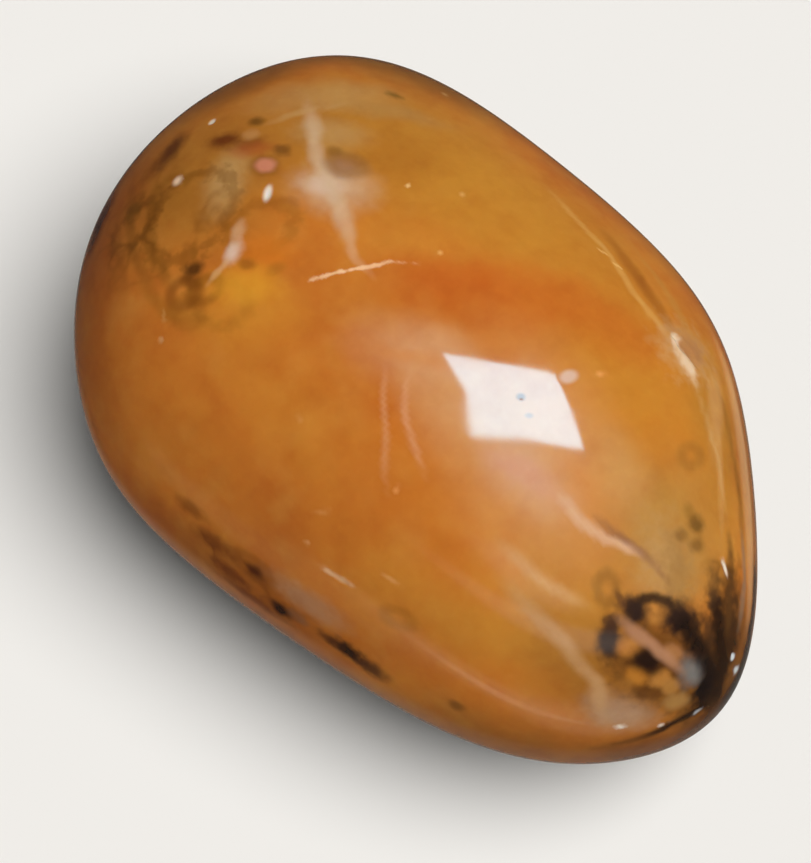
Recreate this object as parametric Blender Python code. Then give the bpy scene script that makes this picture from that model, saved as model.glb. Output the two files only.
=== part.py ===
"""An agate pebble, tumbled smooth and polished, as one solid stone.

It starts as a long round lump with broken faces on its sides, and tumbling rounds every edge between them. The lump is
an ellipsoid around the stone's heart, and each broken face is a plane at some distance from the heart. The surface in
any direction is a smooth blend of them all: the rule is in reach(). +X points to the narrow dark tip, +Z up, and the
stone lies on a small flat at z = 0.
"""

import math

import bmesh
import bpy
from mathutils import Vector

MM = 0.001

# The stone's heart, which the lump and the faces are measured from: x, y, z in millimetres.
HEART = (-0.6, -0.85, 12.0)

# The lump before it broke: an ellipsoid's half-lengths along X, Y and Z, in millimetres.
LUMP = (31.0, 25.5, 13.5)

# Each side of the stone: the azimuth that it looks in, in degrees, and its distance from the heart in millimetres.
# Azimuth 0 is +X, the narrow tip, and 90 is +Y. Every side is two broken faces, one leaning up and one leaning down.
SIDES = {
    "tip": (4, 32.5),
    "tip_cheek": (52, 21.5),
    "back_flank": (96, 20.0),
    "back_corner": (151, 28.5),
    "broad_end": (196, 26.75),
    "front_corner": (241, 22.0),
    "front_flank": (283, 16.75),
    "heel": (318, 24.0),
}
SIDE_LEAN = 24

# The other faces: azimuth, tilt above the horizon and distance.
OTHER_FACES = {
    "belly": (0, -90, 13.0),
    "front_shoulder": (282, 46, 17.5),
    "back_shoulder": (95, 50, 17.5),
}

# How tightly the edges stay between the faces: 2 would wear them down to a ball, and 30 would keep them sharp.
EDGE_KEPT = 8.0

# A ball of 20 triangles, each split in four this many times less one, gives the points that are pushed out.
BALL_SPLITS = 5

AMBER_BROWN = (0.46, 0.16, 0.02, 1.0)
POLISHED = 0.08


def direction(azimuth, tilt):
    """The unit vector that looks along an azimuth and a tilt, both in degrees."""
    turn, rise = math.radians(azimuth), math.radians(tilt)
    return Vector((math.cos(turn) * math.cos(rise), math.sin(turn) * math.cos(rise), math.sin(rise)))


def broken_faces():
    """Every face of the chunk, as the direction that it looks in and its distance from the heart."""
    for azimuth, distance in SIDES.values():
        yield direction(azimuth, SIDE_LEAN), distance
        yield direction(azimuth, -SIDE_LEAN), distance
    for azimuth, tilt, distance in OTHER_FACES.values():
        yield direction(azimuth, tilt), distance


PLANES = list(broken_faces())


def reach(look):
    """How far the surface lies from the heart along a unit vector, in millimetres."""
    lump = math.sqrt(sum((along / half) ** 2 for along, half in zip(look, LUMP)))
    planes = sum(max(0.0, look.dot(normal) / distance) ** EDGE_KEPT for normal, distance in PLANES)
    return (lump**EDGE_KEPT + planes) ** (-1 / EDGE_KEPT)


def push_out(shape):
    """Moves each point of a unit ball out to the stone's surface."""
    heart = Vector(HEART)
    for vertex in shape.verts:
        look = vertex.co.normalized()
        vertex.co = (heart + look * reach(look)) * MM


def wear_flat(shape):
    """Cuts the belly off at z = 0 and closes it with one flat face, which the stone lies on."""
    everything = shape.verts[:] + shape.edges[:] + shape.faces[:]
    cut = bmesh.ops.bisect_plane(
        shape, geom=everything, dist=1e-7, plane_co=(0, 0, 0), plane_no=(0, 0, -1), clear_outer=True
    )
    rim = [piece for piece in cut["geom_cut"] if isinstance(piece, bmesh.types.BMEdge)]
    bmesh.ops.contextual_create(shape, geom=rim)
    bmesh.ops.recalc_face_normals(shape, faces=shape.faces[:])


def polished_stone():
    """The stone's plain material: translucent amber brown with a glassy polish."""
    material = bpy.data.materials.new("polished_agate")
    material.use_nodes = True
    shader = material.node_tree.nodes["Principled BSDF"]
    shader.inputs["Base Color"].default_value = AMBER_BROWN
    shader.inputs["Roughness"].default_value = POLISHED
    shader.inputs["Metallic"].default_value = 0.0
    return material


def make_agate():
    shape = bmesh.new()
    bmesh.ops.create_icosphere(shape, subdivisions=BALL_SPLITS, radius=1.0)
    push_out(shape)
    wear_flat(shape)
    mesh = bpy.data.meshes.new("agate")
    shape.to_mesh(mesh)
    shape.free()
    mesh.shade_smooth()
    mesh.set_sharp_from_angle(angle=math.radians(30))
    mesh.materials.append(polished_stone())
    bpy.context.scene.collection.objects.link(bpy.data.objects.new("agate", mesh))


for leftover in list(bpy.data.objects):
    bpy.data.objects.remove(leftover, do_unlink=True)
make_agate()
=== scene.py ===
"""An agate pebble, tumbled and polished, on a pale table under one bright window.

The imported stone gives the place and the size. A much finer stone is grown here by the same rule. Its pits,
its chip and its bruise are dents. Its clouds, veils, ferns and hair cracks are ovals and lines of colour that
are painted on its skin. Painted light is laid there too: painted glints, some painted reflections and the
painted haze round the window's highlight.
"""

import math
from typing import NamedTuple

import bmesh
import bpy
from mathutils import Matrix, Vector


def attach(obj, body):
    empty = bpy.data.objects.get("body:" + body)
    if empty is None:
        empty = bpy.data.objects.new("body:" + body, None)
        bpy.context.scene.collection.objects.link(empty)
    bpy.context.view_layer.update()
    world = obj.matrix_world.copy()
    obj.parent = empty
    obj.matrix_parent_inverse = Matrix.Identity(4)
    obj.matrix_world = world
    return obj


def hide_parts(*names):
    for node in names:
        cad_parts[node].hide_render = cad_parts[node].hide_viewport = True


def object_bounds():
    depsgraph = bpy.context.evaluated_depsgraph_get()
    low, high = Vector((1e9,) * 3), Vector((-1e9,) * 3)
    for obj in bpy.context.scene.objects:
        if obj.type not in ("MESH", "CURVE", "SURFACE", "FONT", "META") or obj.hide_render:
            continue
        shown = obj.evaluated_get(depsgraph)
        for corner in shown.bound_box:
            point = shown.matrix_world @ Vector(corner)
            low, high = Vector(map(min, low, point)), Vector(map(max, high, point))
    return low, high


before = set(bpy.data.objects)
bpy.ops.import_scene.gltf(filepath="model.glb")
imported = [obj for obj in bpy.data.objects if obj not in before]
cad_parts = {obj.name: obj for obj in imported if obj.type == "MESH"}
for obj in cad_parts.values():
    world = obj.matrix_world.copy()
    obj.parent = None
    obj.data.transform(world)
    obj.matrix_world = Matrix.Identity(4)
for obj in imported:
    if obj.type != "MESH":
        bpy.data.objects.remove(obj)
cad_low, cad_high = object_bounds()

MM = 0.001
NODE = "agate"

# The kinds of node that are used the most.
MATH = "ShaderNodeMath"
VECTOR_MATH = "ShaderNodeVectorMath"
NOISE = "ShaderNodeTexNoise"
MAP_RANGE = "ShaderNodeMapRange"

# ----------------------------------------
# The stone's shape, in millimetres and degrees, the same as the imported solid's
# ----------------------------------------

HEART = (-0.6, -0.85, 12.0)
LUMP = (31.0, 25.5, 13.5)
SIDES = {
    "tip": (4, 32.5),
    "tip_cheek": (52, 21.5),
    "back_flank": (96, 20.0),
    "back_corner": (151, 28.5),
    "broad_end": (196, 26.75),
    "front_corner": (241, 22.0),
    "front_flank": (283, 16.75),
    "heel": (318, 24.0),
}
SIDE_LEAN = 24
OTHER_FACES = {
    "belly": (0, -90, 13.0),
    "front_shoulder": (282, 46, 17.5),
    "back_shoulder": (95, 50, 17.5),
}
EDGE_KEPT = 8.0

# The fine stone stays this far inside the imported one, so that none of it stands proud.
SKIN = 0.02

# Tumbling leaves long shallow waves in the polish: their length and their height.
WAVE_LENGTH = 9.0
WAVE_HEIGHT = 0.05

# A noise lies round its middle, and hardly ever goes above its top.
NOISE_MIDDLE = 0.5
NOISE_TOP = 0.75

# The belly is cut off flat at z = 0. Along X and Y the cut lies this many metres away, so it does nothing.
FAR = 1.0

BALL_SPLITS = 7
BALL_RADIUS = 0.01


def direction(azimuth, tilt):
    """The unit vector that looks along an azimuth and a tilt above the horizon, both in degrees."""
    turn, rise = math.radians(azimuth), math.radians(tilt)
    return Vector((math.cos(turn) * math.cos(rise), math.sin(turn) * math.cos(rise), math.sin(rise)))


def linear(colour):
    """An sRGB hex colour such as "C0842A" as linear red, green, blue and alpha."""
    parts = [int(colour[i : i + 2], 16) / 255 for i in (0, 2, 4)]
    return (*(c / 12.92 if c <= 0.04045 else ((c + 0.055) / 1.055) ** 2.4 for c in parts), 1.0)


def add(tree, kind, inputs=None, **settings):
    """Adds a node with its settings. An input takes a value, a socket, or a node's first output."""
    made = tree.nodes.new(kind)
    for name, value in settings.items():
        setattr(made, name, value)
    for socket, value in (inputs or {}).items():
        if isinstance(value, bpy.types.Node):
            value = value.outputs[0]
        if isinstance(value, bpy.types.NodeSocket):
            tree.links.new(value, made.inputs[socket])
        else:
            made.inputs[socket].default_value = value
    return made


# ----------------------------------------
# The stone
# ----------------------------------------


def broken_faces():
    """Every face of the chunk, as the direction that it looks in and its distance from the heart."""
    for azimuth, distance in SIDES.values():
        yield direction(azimuth, SIDE_LEAN), distance
        yield direction(azimuth, -SIDE_LEAN), distance
    for azimuth, tilt, distance in OTHER_FACES.values():
        yield direction(azimuth, tilt), distance


def stone_tree():
    """Geometry Nodes that push a closed mesh round the heart out to the stone's surface and paint it."""
    tree = bpy.data.node_groups.new("tumbled_stone", "GeometryNodeTree")
    face = tree.interface
    face.new_socket("Geometry", in_out="INPUT", socket_type="NodeSocketGeometry")
    face.new_socket("Geometry", in_out="OUTPUT", socket_type="NodeSocketGeometry")
    for name in ("Edge kept", "Wave length", "Wave height", "Skin"):
        face.new_socket(name, in_out="INPUT", socket_type="NodeSocketFloat")
    face.new_socket("Material", in_out="INPUT", socket_type="NodeSocketMaterial")
    given = add(tree, "NodeGroupInput").outputs
    power = given["Edge kept"]

    heart = Vector(HEART) * MM
    place = add(tree, "GeometryNodeInputPosition")
    out = add(tree, VECTOR_MATH, {0: place, 1: tuple(heart)}, operation="SUBTRACT")
    look = add(tree, VECTOR_MATH, {0: out}, operation="NORMALIZE")
    shares = add(tree, VECTOR_MATH, {0: look, 1: LUMP}, operation="DIVIDE")
    lump = add(tree, VECTOR_MATH, {0: shares}, operation="LENGTH").outputs["Value"]
    nearness = add(tree, MATH, {0: lump, 1: power}, operation="POWER")
    for normal, distance in broken_faces():
        values = {0: look, 1: tuple(normal / distance)}
        along = add(tree, VECTOR_MATH, values, operation="DOT_PRODUCT").outputs["Value"]
        ahead = add(tree, MATH, {0: along, 1: 0.0}, operation="MAXIMUM")
        plane = add(tree, MATH, {0: ahead, 1: power}, operation="POWER")
        nearness = add(tree, MATH, {0: nearness, 1: plane}, operation="ADD")
    root = add(tree, MATH, {0: -1.0, 1: power}, operation="DIVIDE")
    reached = add(tree, MATH, {0: nearness, 1: root}, operation="POWER")
    skin = add(tree, VECTOR_MATH, {0: look, "Scale": reached}, operation="SCALE")
    skin = add(tree, VECTOR_MATH, {0: skin, 1: HEART}, operation="ADD")

    # The waves only ever sink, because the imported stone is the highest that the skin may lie.
    waves = add(tree, MATH, {0: 1.0, 1: given["Wave length"]}, operation="DIVIDE")
    waves = add(tree, NOISE, {"Vector": skin, "Scale": waves, "Detail": 1.0})
    waves = add(tree, MATH, {0: waves, 1: NOISE_TOP}, operation="SUBTRACT")
    lift = add(tree, MATH, {0: waves, 1: given["Wave height"]}, operation="MULTIPLY")
    lift = add(tree, MATH, {0: lift, 1: given["Skin"]}, operation="SUBTRACT")
    dents = dig_dents(tree, skin)
    lift = add(tree, MATH, {0: lift, 1: dents}, operation="SUBTRACT")
    raised = add(tree, VECTOR_MATH, {0: look, "Scale": lift}, operation="SCALE")
    surface = add(tree, VECTOR_MATH, {0: skin, 1: raised}, operation="ADD")
    surface = add(tree, VECTOR_MATH, {0: surface, "Scale": MM}, operation="SCALE")
    surface = add(tree, VECTOR_MATH, {0: surface, 1: (-FAR, -FAR, 0.0)}, operation="MAXIMUM")

    values = {"Geometry": given["Geometry"], "Name": COLOUR_NAME, "Value": paint_stone(tree, skin)}
    shape = add(tree, "GeometryNodeStoreNamedAttribute", values, data_type="FLOAT_COLOR", domain="POINT")
    shape = add(tree, "GeometryNodeSetPosition", {"Geometry": shape, "Position": surface})
    shape = add(tree, "GeometryNodeSetShadeSmooth", {"Geometry": shape})
    shape = add(tree, "GeometryNodeRealizeInstances", {"Geometry": shape})
    values = {"Geometry": shape, "Material": given["Material"]}
    add(tree, "NodeGroupOutput", {"Geometry": add(tree, "GeometryNodeSetMaterial", values)})
    return tree


def dig_dents(tree, skin):
    """How deep the pits, the chip and the bruise go at each place, in millimetres."""
    depth = 0.0
    for centre, size, deep, heading in DENTS.values():
        middle = on_skin(centre)
        turn = tuple(lie_flat(middle, direction(heading, 0)))
        apart = add(tree, VECTOR_MATH, {0: skin, 1: tuple(middle)}, operation="SUBTRACT")
        values = {"Vector": apart, "Rotation": turn}
        local = add(tree, "ShaderNodeVectorRotate", values, rotation_type="EULER_XYZ", invert=True)
        local = add(tree, VECTOR_MATH, {0: local, 1: size}, operation="DIVIDE")
        radius = add(tree, VECTOR_MATH, {0: local}, operation="LENGTH").outputs["Value"]
        values = {"Value": radius, "From Min": DENT_FLOOR, "To Min": deep, "To Max": 0.0}
        dent = add(tree, MAP_RANGE, values, interpolation_type="SMOOTHSTEP")
        depth = add(tree, MATH, {0: depth, 1: dent}, operation="ADD")
    return depth


def apply_tree(start, name, tree, values):
    """Runs a Geometry Nodes tree on a mesh and returns the result as a plain mesh."""
    holder = bpy.data.objects.new(name, start)
    bpy.context.scene.collection.objects.link(holder)
    modifier = holder.modifiers.new("shape", "NODES")
    modifier.node_group = tree
    for item in tree.interface.items_tree:
        if item.item_type == "SOCKET" and item.in_out == "INPUT" and item.name in values:
            modifier[item.identifier] = values[item.name]
    graph = bpy.context.evaluated_depsgraph_get()
    made = bpy.data.meshes.new_from_object(holder.evaluated_get(graph))
    holder.modifiers.remove(modifier)
    bpy.data.objects.remove(holder)
    made.name = name
    return made


def ball_mesh():
    """A ball round the heart."""
    shape = bmesh.new()
    bmesh.ops.create_icosphere(shape, subdivisions=BALL_SPLITS, radius=BALL_RADIUS)
    bmesh.ops.translate(shape, vec=Vector(HEART) * MM, verts=shape.verts[:])
    mesh = bpy.data.meshes.new("ball")
    shape.to_mesh(mesh)
    shape.free()
    return mesh


def refine(mesh, zones):
    """Splits a mesh's edges in two inside some balls, each with a centre and a radius in millimetres."""
    shape = bmesh.new()
    shape.from_mesh(mesh)
    middles = [(Vector(centre) * MM, (radius * MM) ** 2) for centre, radius in zones]
    near = [
        edge
        for edge in shape.edges
        if any((edge.verts[0].co - centre).length_squared < radius for centre, radius in middles)
    ]
    bmesh.ops.subdivide_edges(shape, edges=near, cuts=1, use_grid_fill=True)
    bmesh.ops.triangulate(shape, faces=shape.faces[:])
    shape.to_mesh(mesh)
    shape.free()
    return mesh


def make_stone(material):
    values = {
        "Edge kept": EDGE_KEPT,
        "Wave length": WAVE_LENGTH,
        "Wave height": WAVE_HEIGHT,
        "Skin": SKIN,
        "Material": material,
    }
    tree = stone_tree()
    mesh = apply_tree(ball_mesh(), "rough_stone", tree, values)
    mesh = refine(mesh, FINE_ZONES.values())
    mesh = refine(mesh, FINEST_ZONES.values())
    mesh = refine(mesh, [(centre, max(size) + PIT_MARGIN) for centre, size, _, _ in DENTS.values()])
    mesh = apply_tree(mesh, "agate_stone", tree, values)
    stone = bpy.data.objects.new("agate_stone", mesh)
    bpy.context.scene.collection.objects.link(stone)
    return stone


# ----------------------------------------
# The colours in the stone. Places are in millimetres, and each patch is moved on to the stone's skin
# ----------------------------------------


class Patch(NamedTuple):
    """An oval or a ring of colour lying in the skin. Places and sizes are in millimetres."""

    centre: tuple
    size: tuple  # half-lengths along, across and deep
    colour: str
    strength: float
    turn: float = 49  # the azimuth of its length, in degrees
    edge: float = 0.9  # the share of its radius over which it fades
    ragged: float = 0.0  # how far the grain eats into its edge
    ring: float = 0.0  # half the width of a ring's band, as a share of its radius, or 0 for an oval


class Stroke(NamedTuple):
    """A line of colour through some points in the skin."""

    points: tuple
    width: float  # half of it
    colour: str
    strength: float
    edge: float = 1.4
    ragged: float = 0.0


BODY_AMBER = "D17D2C"

# Each drift of the ground colour has a noise of its own, this far from the last.
DRIFT_STEP = 5.0

# The drifts: their length, their colour, where in the noise they start and are full, and how strong they are.
DRIFTS = {
    "rust": (9.0, "B85E22", 0.48, 0.72, 0.5),
    "gold": (7.0, "DE9A3A", 0.5, 0.72, 0.5),
    "thin_rust": (3.6, "B8641F", 0.5, 0.75, 0.35),
    "thin_gold": (2.6, "E0A048", 0.5, 0.78, 0.35),
}

# The length of the noise that outlines wander with, and how many millimetres of it move each kind.
WANDER_LENGTH = 2.6
CLOUD_WANDER = 2.0
VEIL_WANDER = 1.0
STAIN_WANDER = 0.5

# The grain that frays the outlines: its length, and the range of its noise that counts.
GRAIN_LENGTH = 0.6
GRAIN_RANGE = (0.3, 0.7)

# Half the length of a line's ovals, as a share of the way between its points, and how much deeper than wide
# they are.
STROKE_OVERLAP = 0.66
SKIN_DEPTH = 0.4

# The wavy brown bands run where a noise of this length is at its middle, and fade out this far from it.
MOSS_LENGTH = 3.4
MOSS_BAND = 0.06

# Broad clouds of iron stain, from the ground colour up.
CLOUDS = {
    "olive_crown": Patch((-13, 6.5, 22), (8.5, 5.2, 5), "B67A2C", 0.8, 45, 1.3),
    "olive_end": Patch((-18, -3, 22), (5.8, 5.2, 5), "B2742A", 0.9, 70, 1.3),
    "rusty_end": Patch((-22.5, -8, 18.5), (5.5, 3.4, 5), "9C4E16", 0.65, 125, 1.4),
    "rusty_rim": Patch((-17, -13.5, 17), (6, 2.8, 4), "AE5A1E", 0.6, -35, 1.3),
    "rust_under_end": Patch((-17, -9, 8), (9, 7, 5.5), "964A16", 0.6, -40, 1.3),
    "brown_back_corner": Patch((-17, 12.5, 17), (7, 2.8, 4.5), "8E5E22", 0.75, 20, 1.3),
    "brown_crown_rim": Patch((-22.5, 4, 18.5), (5, 2, 3.5), "8A5620", 0.7, 80, 1.3),
    "tan_crown": Patch((-18, 6.5, 21.3), (4, 1.5, 2.5), "C89A5C", 0.6, 55, 1.4),
    "gold_shoulder": Patch((-4.5, 9.5, 23), (10, 4.6, 5), "C8882E", 0.8, 28, 1.3),
    "gold_right": Patch((9, 8.5, 22.5), (7, 4.8, 5), "C6822A", 0.75, -20, 1.3),
    "gold_cheek": Patch((15, 9.5, 19.5), (7.5, 2.4, 4), "B47C2C", 0.75, -40, 1.4),
    "gold_low": Patch((17, -4.5, 22), (5, 3.2, 4.3), "C98A38", 0.75, -25, 1.3),
    "sandy_tip": Patch((17.5, 2.5, 21.5), (4.6, 3.8, 4.3), "B4843E", 0.85, -20, 1.3),
    "gold_left": Patch((-9, -7.5, 24), (3.2, 2, 2.9), "DC9230", 0.7, 30, 1.4),
    "gold_mid": Patch((-1, -9.5, 23.5), (6, 2.2, 3), "D28A30", 0.4, 5, 1.4),
    "red_band": Patch((-0.6, 3.6, 25), (6.8, 2.2, 2.6), "C8641F", 0.65, 45, 1.5),
    "red_band_heart": Patch((-2.2, 3.2, 25), (3.8, 1.2, 1.8), "C85E1E", 0.35, 45, 1.5),
    "red_band_end": Patch((5.5, 8.8, 23.5), (4.5, 2, 2.6), "C86C22", 0.6, 25, 1.4),
    "red_low": Patch((4.8, -9, 23), (4, 2, 2.9), "C86C24", 0.45, -10, 1.4),
    "red_centre": Patch((1, -4.5, 25), (4.2, 1.8, 2.4), "CC7026", 0.5, -15, 1.4),
    "rusty_flank": Patch((0.5, -17, 14.5), (7.5, 2, 3.2), "94480F", 0.55, 15, 1.4),
    "rusty_flank_low": Patch((6, -15.5, 9), (12.5, 3.4, 5), "94501A", 0.65, 15, 1.3),
    "gold_heel": Patch((14.5, -9.5, 20.5), (4, 1.7, 2.9), "CE8E34", 0.5, 20, 1.4),
    "brown_heel": Patch((20, -10, 12.5), (7, 2.8, 5), "9A6226", 0.7, 35, 1.3),
    "brown_cheek": Patch((17.5, 9.8, 15.5), (7, 2.2, 4), "9A6428", 0.45, -40, 1.3),
    "brown_tip": Patch((25, 1.5, 15), (4.2, 3.6, 4.5), "6A421C", 0.85, -41, 1.1),
    "olive_heel": Patch((22, -4.6, 18.5), (6, 3.6, 4), "9C6828", 0.8, 10, 1.4),
    "dark_tip": Patch((26.3, 0.8, 12), (3.4, 2.4, 4), "2E1A0C", 0.85, -60, 1.1),
    "dark_tip_foot": Patch((25.2, -3.5, 12), (4.4, 2.4, 2.8), "63391A", 0.75, 20, 1.4),
    "back_rust": Patch((4, 17, 10), (9, 4, 5), "B05A1E", 0.6, 10, 1.5),
    "back_gold": Patch((-8, 17, 12), (6, 3, 4), "C8893A", 0.6, -15, 1.5),
    "back_brown": Patch((-22, 8, 9), (5, 3.5, 4), "7E4A18", 0.6, 50, 1.5),
}

# Milky veils, where tiny bubbles and old cracks in the quartz scatter the light. The halo patches round the
# window's reflection are partly milky veil and partly painted haze: painted light round that highlight.
VEILS = {
    "halo": Patch((9.4, -0.6, 24.6), (5.8, 4, 3.2), "DAA26C", 0.62, -25, 1.8),
    "halo_heart": Patch((10.2, -1.9, 24.5), (3, 1.5, 2.4), "DEB490", 0.5, 5, 1.7),
    "halo_rose": Patch((10, -2, 24.6), (2.2, 0.7, 1.6), "DC9C88", 0.4, 20, 1.6),
    "halo_left": Patch((3, -2.2, 25.2), (3.6, 2, 2.4), "DCA470", 0.6, -20, 1.7),
    "halo_top": Patch((1, -1, 25.3), (2.2, 1.4, 1.6), "DCA678", 0.5, 40, 1.7),
    "halo_far": Patch((-0.6, -2.6, 25.3), (2.6, 1.8, 2), "DCA070", 0.5, 20, 1.7),
    "halo_right": Patch((13.5, 3, 23.8), (2.6, 1.5, 2), "CE9A5C", 0.55, -10, 1.6),
    "veil_patch": Patch((-11.8, 2, 24.3), (2.2, 1.6, 1.8), "D9B088", 0.8, 38, 1.6, 0.15),
    "veil_bright": Patch((-12.4, 1.6, 24.2), (1.3, 0.8, 1.2), "E6CCB4", 0.6, 40, 1.5, 0.2),
    "veil_end": Patch((-16.9, -2.4, 23.1), (2.3, 1.2, 1.2), "CCA468", 0.65, 130, 1.5, 0.2),
    "veil_far": Patch((-15.4, 4.6, 23.2), (2.1, 1.2, 1.4), "C49A60", 0.6, 35, 1.5, 0.2),
    "veil_back": Patch((-14, 8.5, 21.5), (3.2, 0.8, 1.6), "B88C50", 0.5, 45, 1.4, 0.2),
    "milky_heel": Patch((23.4, -5.6, 17), (2.1, 1.3, 1.6), "B08C6E", 0.75, 15, 1.4, 0.3),
    "milky_flank": Patch((5.6, -15.2, 16.4), (2.6, 0.9, 1.2), "C0906A", 0.7, 12, 1.5, 0.3),
    "back_veil": Patch((-2, 18.4, 12), (4.5, 1.2, 1.6), "D8AE80", 0.6, 8, 1.6, 0.2),
    "sandy_haze": Patch((19, 1.4, 21.6), (2.4, 1.7, 1.6), "C09660", 0.65, -30, 1.5, 0.5),
    "shadow_veil": Patch((20.2, 1.8, 21.2), (1.8, 0.9, 1.2), "9A7038", 0.5, -20, 1.7, 0.8),
}

VEIL_LINES = {
    "long_veil": Stroke(
        ((-17.4, 4.7, 22.5), (-14.2, 2.7, 23.8), (-11.2, 1.5, 24.5), (-8.4, 0.3, 25)),
        0.45, "DDBC98", 0.6, 1.6
    ),
    "back_hair": Stroke(
        ((-9, 17.5, 13), (-3, 18.6, 13.5), (4, 18.4, 11), (10, 16.2, 9.5)), 0.35, "E0BC90", 0.55, 1.5
    ),
    "veil_foot": Stroke(
        ((-9.6, 0.9, 24.8), (-7.4, -0.1, 25.1), (-5.8, -0.4, 25.2)), 0.25, "E0A878", 0.5, 1.5
    ),
    # upper_stripe and lower_stripe are partly milky veil and partly painted reflection: pale streaks of the
    # room mirrored in the polish.
    "upper_stripe": Stroke(
        ((12.8, -5.7, 23.4), (15.4, -5.2, 22.8), (17.6, -4.3, 22.2)), 0.4, "DCAE78", 0.45, 1.5
    ),
    "lower_stripe": Stroke(
        ((15, -6.9, 22.3), (18.6, -6.3, 20.9), (21.3, -6.1, 19.1), (22.9, -6.5, 17.1)),
        0.45, "CCA070", 0.55, 1.5
    ),
    "crown_hair": Stroke(((-18.5, 3.3, 22.3), (-17, 6.2, 22)), 0.3, "D0A468", 0.5, 1.5),
    "pink_hair": Stroke(((0.3, -4.4, 25.3), (2.2, -6, 24.9), (4.6, -7.9, 24.1)), 0.2, "E0A070", 0.5, 1.5),
    "pink_hair_two": Stroke(((1.4, -3.4, 25.3), (3.1, -5, 25), (5.5, -6.2, 24.6)), 0.18, "E4A87C", 0.5, 1.5),
    "pink_shelf": Stroke(((-2.9, -4.6, 25.1), (0.2, -2.4, 25.3), (3, 0.2, 25.3)), 0.5, "D88C4C", 0.5, 1.6),
    "rose_streak": Stroke(
        ((12.6, -0.9, 24.1), (14, -1.3, 23.7), (15.4, -1, 23.3), (16.9, -0.2, 22.9), (17.8, 0.3, 22.4)),
        0.32, "E0B490", 0.7, 1.4, 0.2
    ),
    "rose_streak_edge": Stroke(
        ((15.2, -0.2, 23.3), (17, 0.3, 22.7), (19.2, 0.8, 21.8)), 0.28, "8C5C44", 0.55, 1.6, 0.4
    ),
    "healed_crack": Stroke(
        ((-3.2, 13.3, 20.7), (1.5, 12.9, 21.2), (5.5, 12.1, 21.6), (8, 12, 21.3)), 0.25, "DDA858", 0.55, 1.3
    ),
    "rust_seam": Stroke(((0.9, 14, 20.3), (4.5, 13.3, 20.8), (8.3, 12.6, 20.8)), 0.5, "9E5A18", 0.6),
    "gold_seam": Stroke(((3, 14.6, 19), (7.5, 13.6, 19.5), (11, 12.4, 19)), 0.35, "C88C3C", 0.5),
    "brown_seam": Stroke(((12.5, 11.6, 18.5), (16.5, 9.2, 18), (20, 7.2, 17.5)), 0.3, "8A5A20", 0.5),
    "cheek_hair": Stroke(((11.5, 11.2, 20.7), (14.4, 9.6, 20.4), (17.6, 7.6, 19.6)), 0.2, "C89858", 0.5),
    # glitter is painted glints: painted highlights that sparkle along a fine scratch.
    "glitter": Stroke(
        ((-7.7, -3.1, 25.1), (-6.7, -1.4, 25.2), (-5.1, 0.9, 25.3)), 0.13, "FFD0A0", 0.8, 1.2, 1.2
    ),
}

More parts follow.
